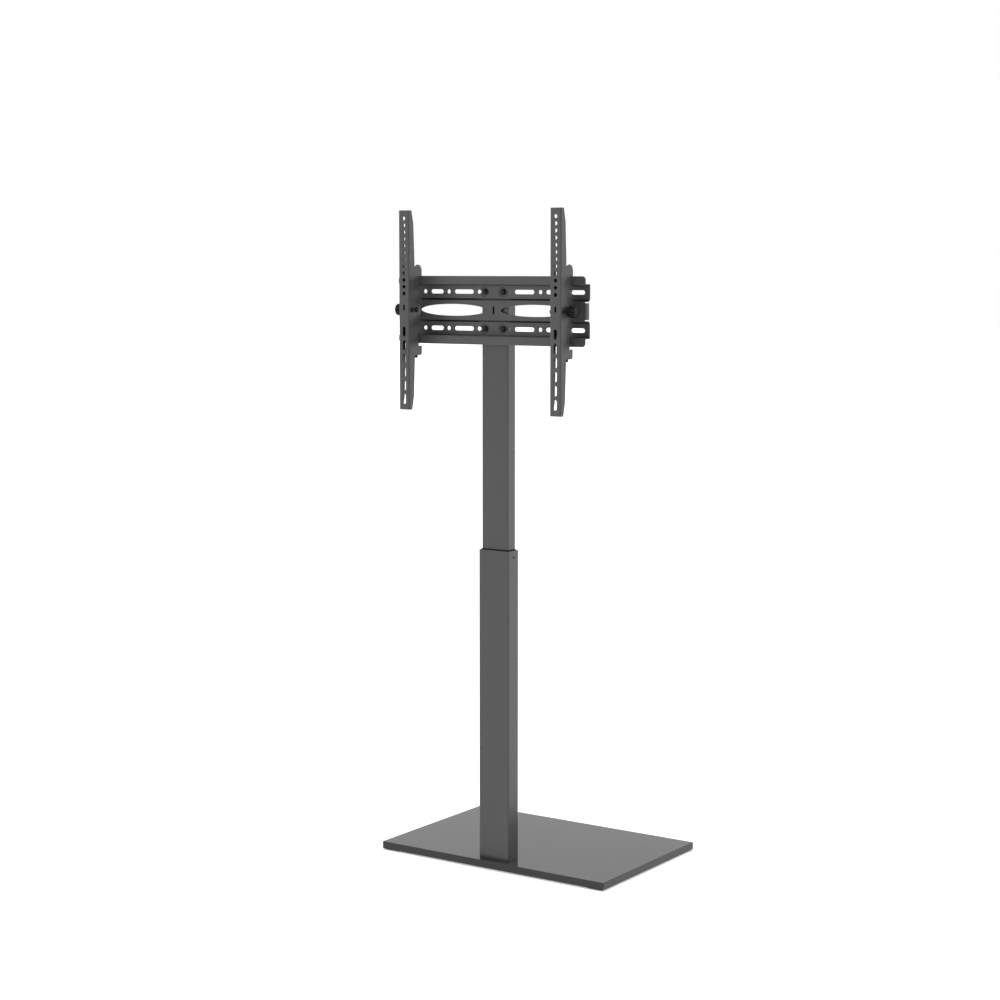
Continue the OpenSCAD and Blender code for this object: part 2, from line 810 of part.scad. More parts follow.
module arm() {
    over = arm_w + 20;
    edge_r = 1;
    edge_mid = 0.3 * edge_r;
    color(steel) difference() {
        union() {
            translate([-arm_w / 2, 0, arm_bottom]) cube([arm_w, sheet_t, arm_len]);
            for (x = [-arm_w / 2, arm_in]) side_plate(x, sheet_t) arm_flange_2d();
        }
        for (s = [0, 1]) mirror([s, 0, 0])
            translate([arm_w / 2, 0, arm_middle]) linear_extrude(arm_len + 2, center = true)
                polygon([
                    [-edge_r, -1], [1, -1], [1, edge_r], [0, edge_r],
                    [-edge_mid, edge_mid], [-edge_r, 0]
                ]);
        translate([0, sheet_t + 1, 0]) rotate([90, 0, 0]) linear_extrude(sheet_t + 2)
            arm_face_holes();
        translate([0, pivot_y, 0]) rod_x(pivot_d + 2 * pivot_play, -over / 2, over);
        lock_slot(over);
    }
}

module arm_left() { on_arm(-1) arm(); }
module arm_right() { on_arm(1) arm(); }

// Hook brackets

// Side plate of a bracket as (depth, height)
module bracket_side_2d() {
    back = lip_depth - hook_gap;
    low_back = back - 4.5;
    rear = lip_depth + sheet_t + hook_gap + finger_t;
    tail = -rail_top - tail_l;
    ear_z = rail_top + ear_rise;
    ear_y = rear - ear_r;
    lobe_z = 22;
    slope = 6;
    foot_front = web_y + 6;
    front = web_y - 4;
    front_top = rail_top - 5;
    front_low = -rail_top + 25;
    lobe = touch([front, lobe_z], [pivot_y, 0], pivot_lobe_r, 1);
    difference() {
        union() {
            polygon([
                [web_y, tail], [low_back, tail], [low_back, -tab_h - slope],
                [tab_depth, -tab_h], [tab_depth, tab_h], [back, tab_h + slope / 2],
                [back, ear_z], [web_y, ear_z], [web_y, front_top + 4], [front, front_top],
                [front, lobe_z], lobe, [pivot_y, 0], [lobe[0], -lobe[1]], [front, -lobe_z],
                [front, front_low], [web_y, front_low - 4]
            ]);
            translate([pivot_y, 0]) circle(pivot_lobe_r);
            translate([ear_y, ear_z]) circle(ear_r);
            translate([back, rail_top - finger_l])
                square([rear - back, ear_z - rail_top + finger_l]);
            translate([foot_front, tail + tail_r])
                square([rear - foot_front, tail_foot_h - tail_r]);
            translate([foot_front, tail])
                square([rear - foot_front - tail_r, tail_foot_h]);
            translate([rear - tail_r, tail + tail_r]) circle(tail_r);
        }
        translate([back, rail_top - finger_l - 1])
            square([sheet_t + 2 * hook_gap, finger_l + 1 + hook_gap]);
    }
}

safety_y = lip_depth + sheet_t / 2;
safety_tab_z = -rail_top - tail_l;

// Two side plates, a front web above and below the pivot, and a tab under the rail
module hook_bracket() {
    web_w = 2 * plate_in;
    webs = [[-rail_top - tail_l + 2, -14], [14, rail_top - 4]];
    tab_l = safety_y + safety_d / 2 + 1.5 - web_y;
    color(steel) difference() {
        union() {
            for (x = [-plate_out, plate_in]) side_plate(x, bracket_t) bracket_side_2d();
            for (z = webs)
                translate([-plate_in, web_y, z[0]]) cube([web_w, bracket_t, z[1] - z[0]]);
            translate([-plate_in, web_y, safety_tab_z]) cube([web_w, tab_l, bracket_t]);
        }
        translate([0, pivot_y, 0]) rod_x(pivot_d + 2 * thread_play, -arm_w, 2 * arm_w);
        translate([0, lock_y, 0]) rod_x(lock_d + 2 * thread_play, -arm_w, 2 * arm_w);
        translate([0, safety_y, safety_tab_z - 1])
            cylinder(d = safety_d + 2 * thread_play, h = bracket_t + 2);
    }
}

module hook_bracket_left() { on_arm(-1) hook_bracket(); }
module hook_bracket_right() { on_arm(1) hook_bracket(); }

// Tilt bolts, +X is the outer side of the arm

module pivot_bolt() {
    color(dark_steel) translate([0, pivot_y, 0]) {
        rod_x(pivot_d, -bolt_seat_x - small_nut_h - 1, 2 * bolt_seat_x + small_nut_h + 1);
        rod_x(small_af, bolt_seat_x, pivot_head_h);
    }
}

module pivot_bolt_left() { on_arm(-1) pivot_bolt(); }
module pivot_bolt_right() { on_arm(1) pivot_bolt(); }

module pivot_nut() {
    color(dark_steel) translate([0, pivot_y, 0]) difference() {
        hex_x(small_af, -bolt_seat_x - small_nut_h, small_nut_h);
        rod_x(pivot_d + 2 * thread_play, -bolt_seat_x - small_nut_h - 1, small_nut_h + 2);
    }
}

module pivot_nut_left() { on_arm(-1) pivot_nut(); }
module pivot_nut_right() { on_arm(1) pivot_nut(); }

module lock_bolt() {
    color(dark_steel) translate([0, lock_y, 0]) {
        hex_x(small_af, -bolt_seat_x - small_nut_h, small_nut_h);
        rod_x(lock_d, -bolt_seat_x - 1, bolt_seat_x + 1 + knob_x + knob_l - 3);
    }
}

module lock_bolt_left() { on_arm(-1) lock_bolt(); }
module lock_bolt_right() { on_arm(1) lock_bolt(); }

module lock_washer() {
    color(dark_steel) translate([0, lock_y, 0]) difference() {
        rod_x(2 * lock_d, bolt_seat_x, lock_washer_t);
        rod_x(lock_d + 2 * thread_play, bolt_seat_x - 1, lock_washer_t + 2);
    }
}

module lock_washer_left() { on_arm(-1) lock_washer(); }
module lock_washer_right() { on_arm(1) lock_washer(); }

// Fluted hand knob on the lock bolt
module tilt_knob() {
    neck_l = 3;
    bevel = 1.5;
    neck_d = 0.62 * knob_d;
    flute_d = 0.16 * knob_d;
    flute_z = knob_d / 2 + 0.15 * flute_d;
    knob_bore_l = knob_l - 2.5;
    color(plastic) translate([0, lock_y, 0]) difference() {
        union() {
            rod_x(neck_d, knob_x, neck_l + 1);
            rod_x(knob_d, knob_x + neck_l, knob_l - neck_l - bevel);
            translate([knob_x + knob_l - bevel, 0, 0]) rotate([0, 90, 0])
                cylinder(d1 = knob_d, d2 = knob_d - 2 * bevel, h = bevel);
        }
        for (i = [0 : knob_flutes - 1])
            rotate([360 / knob_flutes * i, 0, 0]) translate([0, flute_z, 0])
                rod_x(flute_d, knob_x + neck_l - 1, knob_l + 2);
        rod_x(lock_d + 2 * thread_play, knob_x - 1, knob_bore_l + 1);
    }
}

module tilt_knob_left() { on_arm(-1) tilt_knob(); }
module tilt_knob_right() { on_arm(1) tilt_knob(); }

module safety_screw() {
    tip_z = -rail_top - hook_gap;
    head_z = safety_tab_z - head_gap - safety_head_h;
    groove_w = 1.2;
    groove_h = 1.5;
    color(dark_steel) translate([0, safety_y, 0]) difference() {
        union() {
            translate([0, 0, head_z]) cylinder(d = safety_head_d, h = safety_head_h);
            translate([0, 0, head_z]) cylinder(d = safety_d, h = tip_z - head_z);
        }
        translate([-safety_head_d, -groove_w / 2, head_z - eps])
            cube([2 * safety_head_d, groove_w, groove_h]);
    }
}

module safety_screw_left() { on_arm(-1) safety_screw(); }
module safety_screw_right() { on_arm(1) safety_screw(); }

base_plate();
foot_pads();
base_bolts();
foot_plate();
outer_tube();
guide_collar();
collar_screws();
clamp_boss();
clamp_knob();
inner_tube();
tube_glide();
top_cap();
rail();
rail_bolts();
rail_washers();
rail_nuts();
arm_left();
arm_right();
hook_bracket_left();
hook_bracket_right();
pivot_bolt_left();
pivot_bolt_right();
pivot_nut_left();
pivot_nut_right();
lock_bolt_left();
lock_bolt_right();
lock_washer_left();
lock_washer_right();
tilt_knob_left();
tilt_knob_right();
safety_screw_left();
safety_screw_right();
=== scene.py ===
"""Floor stand with a base plate, a telescopic column and a tilting screen mount."""
import bmesh
import bpy
import json
import math
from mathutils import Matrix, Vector
from mathutils.geometry import delaunay_2d_cdt


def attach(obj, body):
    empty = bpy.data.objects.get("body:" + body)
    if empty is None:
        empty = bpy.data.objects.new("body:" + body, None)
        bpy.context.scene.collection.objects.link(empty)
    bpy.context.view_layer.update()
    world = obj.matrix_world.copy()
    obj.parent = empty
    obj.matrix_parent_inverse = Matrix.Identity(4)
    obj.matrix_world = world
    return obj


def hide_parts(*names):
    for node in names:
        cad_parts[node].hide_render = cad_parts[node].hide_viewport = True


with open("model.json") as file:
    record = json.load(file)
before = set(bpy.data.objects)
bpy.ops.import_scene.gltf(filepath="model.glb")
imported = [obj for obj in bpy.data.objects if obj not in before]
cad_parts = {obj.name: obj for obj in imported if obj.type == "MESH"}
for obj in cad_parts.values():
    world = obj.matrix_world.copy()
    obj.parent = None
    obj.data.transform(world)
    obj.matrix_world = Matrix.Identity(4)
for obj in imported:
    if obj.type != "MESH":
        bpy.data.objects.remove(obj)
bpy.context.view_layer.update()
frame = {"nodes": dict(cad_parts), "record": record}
nodes = frame["nodes"]
MM = 0.001

CAMERA_PLACE = (2.6394, -4.00305, 1.3485)
CAMERA_PITCH = 83.718
CAMERA_TURN = 34.31
CAMERA_LENS = 76.27
CAMERA_SENSOR = 36.0

# Sizes of the part in millimetres. ARM_FACE_Y, COLUMN_Y, PIVOT_Z and CLAMP_Z are places in the
# frame. All other depths are measured back from the arm face, heights of the arms and of the
# rail from the pivot, and places along the rail from its middle.
ARM_FACE_Y = -220.75
PIVOT_Z = 1253.5
SHEET = 2.0

ARM_X = 200.0
ARM_W = 28.0
ARM_TOP = 219.0
ARM_LOW = -222.0
FLANGE_END = 11.0       # depth of the flanges at the arm's ends
FLANGE_FULL = 21.5      # depth of the flanges along the middle
FLANGE_KNEE = 0.66      # share of the difference that is reached at the knee
KNEE_RUN = 30.0
FULL_RUN = 110.0
LOBE_RUN = 30.0
LOBE_R = 11.0
TOP_HOLE = 18.0
LOW_SLOT = 399.0        # from the top hole down to the lowest slot
HOLE_PITCH = 15.0
HOLE_R = 4.1
HOLE_COUNT = 12
SLOT_PITCH = 30.0
SLOT_L = 22.0
SLOT_W = 8.2
SLOT_COUNT = 6
SMALL_SLOT = (5.0, 13.0, 5.0)       # height, length and width
PIVOT_Y = 10.5
PIVOT_HOLE_R = 3.05
LOCK_R = 16.0
LOCK_Y = PIVOT_Y + LOCK_R
LOCK_SLOT_HALF = 3.4
TILT_RANGE = (-10.0, 5.0)

RAIL_LEN = 494.0
RAIL_TOP = 75.0
LIP_Y = 44.0
LIP_H = 17.5
BAND_Y = 62.0
PANEL_Y = 60.0
LIP_MID = LIP_Y + SHEET / 2         # depths of the middle of the sheet
BAND_MID = BAND_Y + SHEET / 2
PANEL_MID = PANEL_Y + SHEET / 2
BAND_NEAR = 0.6         # as near as this to the depth of the bands counts as on them
PANEL_HALF = 19.0
GROOVE_OUT = 26.2
GROOVE_IN = 22.5
GROOVE_DEPTH = 1.5
GROOVE_WALLS = (0.46, 1.27)         # heights of the groove's outer and inner walls
GROOVE_EXTRA = 3.0      # further depth of the grooves on both sides of the column
EXTRA_FROM = (36.0, 12.0)           # where it starts, and the length in which it grows
EXTRA_TO = (192.0, 24.0)            # where it ends, and the length in which it falls off
CORNER_R = 8.0
PANEL_SHORT = 7.5       # the panel ends this far inside the rail's ends
TONGUE = 12.0
TONGUE_HALF = PANEL_HALF - 1.0
NOTCH_HALF = PANEL_HALF + GROOVE_DEPTH
NOTCH_SLANT = 4.5
RELIEF = (3.5, 4.5, 1.2)            # start, end and slant of the cut at a tongue's root
ROW_Z = 40.5
ROW_W = 9.5
ROW_HOLES = (39.5, 121.5, 186.0)
ROW_SLOTS = ((80.0, 51.5), (153.0, 34.0), (218.0, 34.5))    # place and length
OVAL_X = 108.0
OVAL_HALF = (88.5, 13.0)
MIDDLE_SLOT = (18.0, 5.0)
CROSS_FOLD = 12         # spacing of the lines across the rail's pattern
BOLT_X = 24.0
BOLT_HOLE_R = 3.25
SEAT_FLAT = 10.0
SEAT_R = 12.4
SEAT_RINGS = (10.0, 10.6, 11.2, 11.8, 12.4)

COLUMN_Y = -140.25
COLUMN_FACE = 65.5

BODY_OF = {node: body for body, group in frame["record"]["behaviour"]["bodies"].items()
           for node in group}
SLOT_OF = {part["node"]: part["material_slot"] for part in frame["record"]["subparts"]}
FINISH_OF = {**SLOT_OF, "outer_tube": "tube_coat", "inner_tube": "tube_coat"}


# Shader groups

def new_group(name, inputs, outputs):
    tree = bpy.data.node_groups.new(name, "ShaderNodeTree")
    for label, start in inputs:
        socket = tree.interface.new_socket(label, in_out="INPUT", socket_type="NodeSocketFloat")
        socket.default_value = start
    for label in outputs:
        tree.interface.new_socket(label, in_out="OUTPUT", socket_type="NodeSocketFloat")
    return tree


def math_node(tree, operation, first, second):
    node = tree.nodes.new("ShaderNodeMath")
    node.operation = operation
    for socket, value in zip(node.inputs, (first, second)):
        if isinstance(value, (int, float)):
            socket.default_value = value
        else:
            tree.links.new(value, socket)
    return node.outputs[0]


def noise(tree, place, scale, detail, rough):
    node = tree.nodes.new("ShaderNodeTexNoise")
    node.inputs["Detail"].default_value = detail
    node.inputs["Roughness"].default_value = rough
    tree.links.new(place, node.inputs["Vector"])
    tree.links.new(scale, node.inputs["Scale"])
    return node.outputs["Fac"]


def build_coat_grain():
    """Fine pebbled skin of sprayed powder, with a slow drift of tone over the piece."""
    tree = new_group(
        "coat_grain",
        [("Pebble Scale", 900.0), ("Drift Scale", 7.0), ("Pebble Share", 0.5)],
        ["Tone", "Rough", "Height"],
    )
    source = tree.nodes.new("NodeGroupInput")
    result = tree.nodes.new("NodeGroupOutput")
    place = tree.nodes.new("ShaderNodeTexCoord").outputs["Object"]
    pebbles = noise(tree, place, source.outputs["Pebble Scale"], 2.0, 0.55)
    drift = noise(tree, place, source.outputs["Drift Scale"], 3.0, 0.5)
    fine = math_node(tree, "MULTIPLY", pebbles, source.outputs["Pebble Share"])
    rest = math_node(tree, "SUBTRACT", 1.0, source.outputs["Pebble Share"])
    broad = math_node(tree, "MULTIPLY", drift, rest)
    tone = math_node(tree, "ADD", fine, broad)
    tree.links.new(tone, result.inputs["Tone"])
    tree.links.new(drift, result.inputs["Rough"])
    tree.links.new(pebbles, result.inputs["Height"])
    return tree


def build_crease_shade():
    """Painted shade: 1 on open faces, lower in narrow grooves, folds and inner corners of a piece.
    """
    tree = new_group("crease_shade", [("Reach", 0.006), ("Depth", 1.6)], ["Open"])
    source = tree.nodes.new("NodeGroupInput")
    result = tree.nodes.new("NodeGroupOutput")
    hidden = tree.nodes.new("ShaderNodeAmbientOcclusion")
    hidden.samples = 8
    hidden.only_local = True
    tree.links.new(source.outputs["Reach"], hidden.inputs["Distance"])
    shade = math_node(tree, "POWER", hidden.outputs["AO"], source.outputs["Depth"])
    tree.links.new(shade, result.inputs["Open"])
    return tree


COAT_GRAIN = build_coat_grain()
CREASE_SHADE = build_crease_shade()
GRAIN_SPAN = (0.3, 0.7)     # most values of the noise lie between these
CREASE_SHADE_DEPTH = 2.6
CREASE_SHADE_TONE = 0.12          # tone of the painted shade in a deep crease, as a share of the dark tone


def finish_material(name, dark, light, rough, depth, specular, metal=0.0, pebble=900.0,
                    drift=7.0, reach=0.005):
    """A finish with a tone from dark to light and a roughness from rough[0] to rough[1], with
    painted shade in its creases.

    depth is the height of its pebbles and reach that of its painted crease shade, both in metres.
    """
    material = bpy.data.materials.new(name)
    material.use_nodes = True
    tree = material.node_tree
    shader = tree.nodes["Principled BSDF"]
    shader.inputs["Metallic"].default_value = metal
    shader.inputs["Specular IOR Level"].default_value = specular
    grain = tree.nodes.new("ShaderNodeGroup")
    grain.node_tree = COAT_GRAIN
    grain.inputs["Pebble Scale"].default_value = pebble
    grain.inputs["Drift Scale"].default_value = drift
    colours = tree.nodes.new("ShaderNodeValToRGB")
    for element, spot, tone in zip(colours.color_ramp.elements, GRAIN_SPAN, (dark, light)):
        element.position = spot
        element.color = (*tone, 1.0)
    tree.links.new(grain.outputs["Tone"], colours.inputs["Fac"])
    # Painted shade: the base colour darkens towards the crease tone in grooves, folds and inner
    # corners.
    crease = tree.nodes.new("ShaderNodeGroup")
    crease.node_tree = CREASE_SHADE
    crease.inputs["Reach"].default_value = reach
    crease.inputs["Depth"].default_value = CREASE_SHADE_DEPTH
    shaded = tree.nodes.new("ShaderNodeMix")
    shaded.data_type = "RGBA"
    shaded.inputs["A"].default_value = (*(tone * CREASE_SHADE_TONE for tone in dark), 1.0)
    tree.links.new(crease.outputs["Open"], shaded.inputs["Factor"])
    tree.links.new(colours.outputs["Color"], shaded.inputs["B"])
    tree.links.new(shaded.outputs["Result"], shader.inputs["Base Color"])
    spread = tree.nodes.new("ShaderNodeMapRange")
    spread.clamp = False
    for label, value in zip(("From Min", "From Max", "To Min", "To Max"), GRAIN_SPAN + rough):
        spread.inputs[label].default_value = value
    tree.links.new(grain.outputs["Rough"], spread.inputs["Value"])
    tree.links.new(spread.outputs["Result"], shader.inputs["Roughness"])
    bump = tree.nodes.new("ShaderNodeBump")
    bump.inputs["Strength"].default_value = 1.0
    bump.inputs["Distance"].default_value = depth
    tree.links.new(grain.outputs["Height"], bump.inputs["Height"])
    tree.links.new(bump.outputs["Normal"], shader.inputs["Normal"])
    return material


FINISHES = {
    "powder_coat": finish_material(
        "powder_coat", (0.091, 0.091, 0.092), (0.111, 0.111, 0.112), (0.44, 0.54), 0.00002,
        specular=0.1, reach=0.0035),
    "tube_coat": finish_material(
        "tube_coat", (0.050, 0.050, 0.051), (0.058, 0.058, 0.059), (0.24, 0.28), 0.00001,
        specular=0.5),
    "base_coat": finish_material(
        "base_coat", (0.034, 0.034, 0.035), (0.042, 0.042, 0.043), (0.07, 0.10), 0.0000005,
        specular=0.26, drift=4.0, reach=0.002),
    "black_zinc": finish_material(
        "black_zinc", (0.012, 0.012, 0.013), (0.028, 0.028, 0.030), (0.38, 0.5), 0.00001,
        metal=0.3, specular=0.15, pebble=1600.0, drift=60.0),
    "black_plastic": finish_material(
        "black_plastic", (0.010, 0.010, 0.010), (0.016, 0.016, 0.016), (0.45, 0.58), 0.00003,
        specular=0.1, pebble=1400.0, drift=30.0),
    "pad_rubber": finish_material(
        "pad_rubber", (0.006, 0.006, 0.006), (0.011, 0.011, 0.011), (0.75, 0.9), 0.00004,
        specular=0.08, pebble=2200.0, drift=40.0),
}


# Making pieces

SHARP_TURN = 28.0
LEVEL_TURN = 0.6            # from this turn on, a much larger face keeps its own level shading
LEVEL_RATIO = 12.0
SOFT_TURN = 35.0
SHEET_TURN = 50.0           # the folds turn less than this, and the sheet's cut edges more
MERGE_TURN = 0.4
MERGE_DIST = 0.000002
SAME_POINT = 0.00001        # in millimetres, for the flat patterns


def keep_flats_flat(mesh):
    """Rounds the shading of curved parts and keeps it level on the large flat faces."""
    bm = bmesh.new()
    bm.from_mesh(mesh)
    for face in bm.faces:
        face.smooth = True
    for edge in bm.edges:
        if len(edge.link_faces) != 2:
            continue
        turn = math.degrees(edge.calc_face_angle(0.0))
        areas = sorted(face.calc_area() for face in edge.link_faces)
        uneven = turn > LEVEL_TURN and areas[1] > LEVEL_RATIO * areas[0]
        edge.smooth = not (turn > SHARP_TURN or uneven)
    bm.to_mesh(mesh)
    bm.free()


def settle(piece, node):
    """Applies the piece's modifiers, gives it its finish and puts it in the node's place."""
    bpy.context.view_layer.update()
    graph = bpy.context.evaluated_depsgraph_get()
    mesh = bpy.data.meshes.new_from_object(piece.evaluated_get(graph))
    piece.modifiers.clear()
    piece.data = mesh
    mesh.name = piece.name
    keep_flats_flat(mesh)
    mesh.materials.clear()
    mesh.materials.append(FINISHES[FINISH_OF[node]])
    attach(piece, BODY_OF[node])
    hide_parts(node)


def new_piece(name, bm):
    mesh = bpy.data.meshes.new(name)
    bm.to_mesh(mesh)
    bm.free()
    piece = bpy.data.objects.new(name, mesh)
    bpy.context.scene.collection.objects.link(piece)
    return piece


def soften(piece, width, segments, angle=SOFT_TURN):
    """Breaks the piece's sharp edges; width is in millimetres."""
    bevel = piece.modifiers.new("soft_edges", "BEVEL")
    bevel.width = width * MM
    bevel.segments = segments
    bevel.limit_method = "ANGLE"
    bevel.angle_limit = math.radians(angle)
    bevel.use_clamp_overlap = True


def dressed_copy(node, width, segments):
    """A merged copy of the node's solid whose edges are broken by a small round."""
    bm = bmesh.new()
    bm.from_mesh(nodes[node].data)
    bmesh.ops.remove_doubles(bm, verts=bm.verts, dist=MERGE_DIST)
    bmesh.ops.dissolve_limit(
        bm, angle_limit=math.radians(MERGE_TURN), use_dissolve_boundaries=False,
        verts=bm.verts, edges=bm.edges)
    piece = new_piece(node + "_dressed", bm)
    soften(piece, width, segments)
    settle(piece, node)


# Sheet metal: a flat pattern is cut out, bent round its fold lines and given its thickness

def circle_loop(u, v, radius, count):
    return [(u + radius * math.cos(2 * math.pi * k / count),
             v + radius * math.sin(2 * math.pi * k / count)) for k in range(count)]


def slot_loop(u, v, length, width, upright, count=10):
    """Round-ended slot; its length runs along v if upright, or else along u."""
    half, radius, loop = (length - width) / 2, width / 2, []
    for side in (1, -1):
        for k in range(count + 1):
            a = math.pi * (k / count - 0.5)
            loop.append((side * (half + radius * math.cos(a)), side * radius * math.sin(a)))
    if upright:
        loop = [(-b, a) for a, b in loop]
    return [(u + a, v + b) for a, b in loop]


def holds(loop, u, v):
    """Whether the closed loop holds the point."""
    inside = False
    for (a, b), (c, d) in zip(loop, loop[1:] + loop[:1]):
        if (b > v) != (d > v) and u < (c - a) * (v - b) / (d - b) + a:
            inside = not inside
    return inside


def cut_pattern(outline, holes, folds, rings=()):
    """Triangles of the flat pattern, with edges along the fold lines and the rings."""
    points, edges = [], []
    for loop in [outline] + list(holes) + list(rings):
        start = len(points)
        points += loop
        edges += [(start + k, start + (k + 1) % len(loop)) for k in range(len(loop))]
    for first, second in folds:
        edges.append((len(points), len(points) + 1))
        points += [first, second]
    spots = [Vector(point) for point in points]
    verts, _, faces, *_ = delaunay_2d_cdt(spots, edges, [], 0, SAME_POINT)
    kept = []
    for face in faces:
        u = sum(verts[k].x for k in face) / len(face)
        v = sum(verts[k].y for k in face) / len(face)
        if holds(outline, u, v) and not any(holds(hole, u, v) for hole in holes):
            kept.append(face)
    return verts, kept


def bent_sheet(name, pattern, place, edge):
    """The pattern's middle surface is put in place, in millimetres, and made solid."""
    verts, faces = pattern
    bm = bmesh.new()
    spots = [bm.verts.new(Vector(place(v.x, v.y)) * MM) for v in verts]
    for face in faces:
        bm.faces.new([spots[k] for k in face])
    bmesh.ops.delete(bm, geom=[v for v in bm.verts if not v.link_faces], context="VERTS")
    bmesh.ops.recalc_face_normals(bm, faces=bm.faces)
    piece = new_piece(name, bm)
    solid = piece.modifiers.new("thickness", "SOLIDIFY")
    solid.thickness = SHEET * MM
    solid.offset = 0.0
    solid.use_even_offset = True
    soften(piece, edge, 1, SHEET_TURN)
    return piece


def turned(profile, count=48, reach=None, hollow=False):
    """A turned solid about +X: profile is a list of (along, radius), reach bends a radius.

    The profile of a hollow solid is closed, and any other starts and ends on the axis.
    """
    bm = bmesh.new()
    rings = []
    for along, radius in profile:
        if radius <= 0:
            rings.append([bm.verts.new(Vector((along, 0, 0)) * MM)])
            continue
        ring = []
        for k in range(count):
            a = 2 * math.pi * k / count
            r = reach(a, radius) if reach else radius
            ring.append(bm.verts.new(Vector((along, r * math.cos(a), r * math.sin(a))) * MM))
        rings.append(ring)
    for first, second in zip(rings, rings[1:] + (rings[:1] if hollow else [])):
        for k in range(count):
            n = (k + 1) % count
            if len(first) == 1:
                bm.faces.new((first[0], second[k], second[n]))
            elif len(second) == 1:
                bm.faces.new((first[k], second[0], first[n]))
            else:
                bm.faces.new((first[k], second[k], second[n], first[n]))
    bmesh.ops.recalc_face_normals(bm, faces=bm.faces)
    return bm


def put(bm, place, axis, flip=False):
    """Turns a solid that was made along +X to another axis, and moves it, in millimetres.

    flip turns it half a turn about Z first.
    """
    for vert in bm.verts:
        x, y, z = vert.co
        if flip:
            x, y = -x, -y
        if axis == "Y":
            x, y = -y, x
        elif axis == "-Y":
            x, y = y, -x
        vert.co = Vector((x, y, z)) + Vector(place) * MM
    return bm


def joined(*parts):
    whole = bmesh.new()
    for part in parts:
        mesh = bpy.data.meshes.new("part")
        part.to_mesh(mesh)
        part.free()
        whole.from_mesh(mesh)
        bpy.data.meshes.remove(mesh)
    return whole


def off_side(a):
    """Angle from the middle of the nearest of six sides or flutes."""
    return (a + math.pi / 6) % (math.pi / 3) - math.pi / 6


def hexagon(flats):
    """Spreads the rim of a turned solid to a hexagon, and leaves its crown round."""
    def reach(a, radius):
        if radius < flats * 0.47:
            return radius
        return radius / math.cos(off_side(a))
    return reach


def hex_head(flats, height, from_x):
    """Hexagonal head along +X with a turned crown."""
    rim, top = flats / 2, from_x + height
    return turned([
        (from_x, 0), (from_x, rim * 0.93), (from_x + 0.25, rim), (top - 0.6, rim),
        (top - 0.15, rim * 0.93), (top, rim * 0.86), (top, 0),
    ], reach=hexagon(flats))


THREAD_DEPTH = 0.35


def shank(radius, from_x, to_x, pitch=1.0):
    """Threaded shank along +X, its turns shown as close rings."""
    profile = [(from_x, 0), (from_x, radius - THREAD_DEPTH)]
    along = from_x + 0.3
    while along < to_x - 0.8:
        profile += [(along, radius), (along + pitch / 2, radius - THREAD_DEPTH)]
        along += pitch
    profile += [(to_x - 0.4, radius - 0.5), (to_x, radius - 0.9), (to_x, 0)]
    return turned(profile, 24)


# Arms

FOLD_R = 2.2
FOLD_L = FOLD_R * math.pi / 2
ARM_MID = ARM_W / 2 - SHEET / 2
ARM_FLAT = ARM_MID - FOLD_R
FOLD_EDGE = 0.4             # narrow strips beside a fold keep the faces next to it level


def arm_across(depth):
    """Distance from the middle of an arm's flat pattern to a depth on its flange."""
    return ARM_FLAT + FOLD_L + depth - SHEET / 2 - FOLD_R


def arm_outline():
    """Half outline of the pattern from the lower end to the upper end as (across, height)."""
    knee = FLANGE_END + (FLANGE_FULL - FLANGE_END) * FLANGE_KNEE
    lower = [(FLANGE_END, ARM_LOW), (knee, ARM_LOW + KNEE_RUN), (FLANGE_FULL, ARM_LOW + FULL_RUN),
             (FLANGE_FULL, -LOBE_RUN)]
    upper = [(FLANGE_FULL, LOBE_RUN), (FLANGE_FULL, ARM_TOP - FULL_RUN), (knee, ARM_TOP - KNEE_RUN),
             (FLANGE_END, ARM_TOP)]
    out = LOCK_Y - FLANGE_FULL
    lean = math.asin(LOBE_R / math.hypot(out, LOBE_RUN)) + math.atan2(out, LOBE_RUN)
    half = math.pi / 2 - lean
    turns = [half * (k / 9 - 1) for k in range(19)]
    lobe = [(LOCK_Y + LOBE_R * math.cos(a), LOBE_R * math.sin(a)) for a in turns]
    return [(arm_across(depth), height) for depth, height in lower + lobe + upper]


def curved_slot():
    """Curved slot over the lock bolt as (across, height)."""
    def at(turn, radius, centre=(PIVOT_Y, 0.0)):
        a = math.radians(turn)
        return (centre[0] + radius * math.cos(a), centre[1] + radius * math.sin(a))

    low, high = TILT_RANGE
    sweep = [low + (high - low) * k / 12 for k in range(13)]
    points = [at(turn, LOCK_R + LOCK_SLOT_HALF) for turn in sweep]
    points += [at(high + 20 * k, LOCK_SLOT_HALF, at(high, LOCK_R)) for k in range(1, 9)]
    points += [at(turn, LOCK_R - LOCK_SLOT_HALF) for turn in reversed(sweep)]
    points += [at(low + 180 + 20 * k, LOCK_SLOT_HALF, at(low, LOCK_R)) for k in range(1, 9)]
    return [(arm_across(depth), height) for depth, height in points]


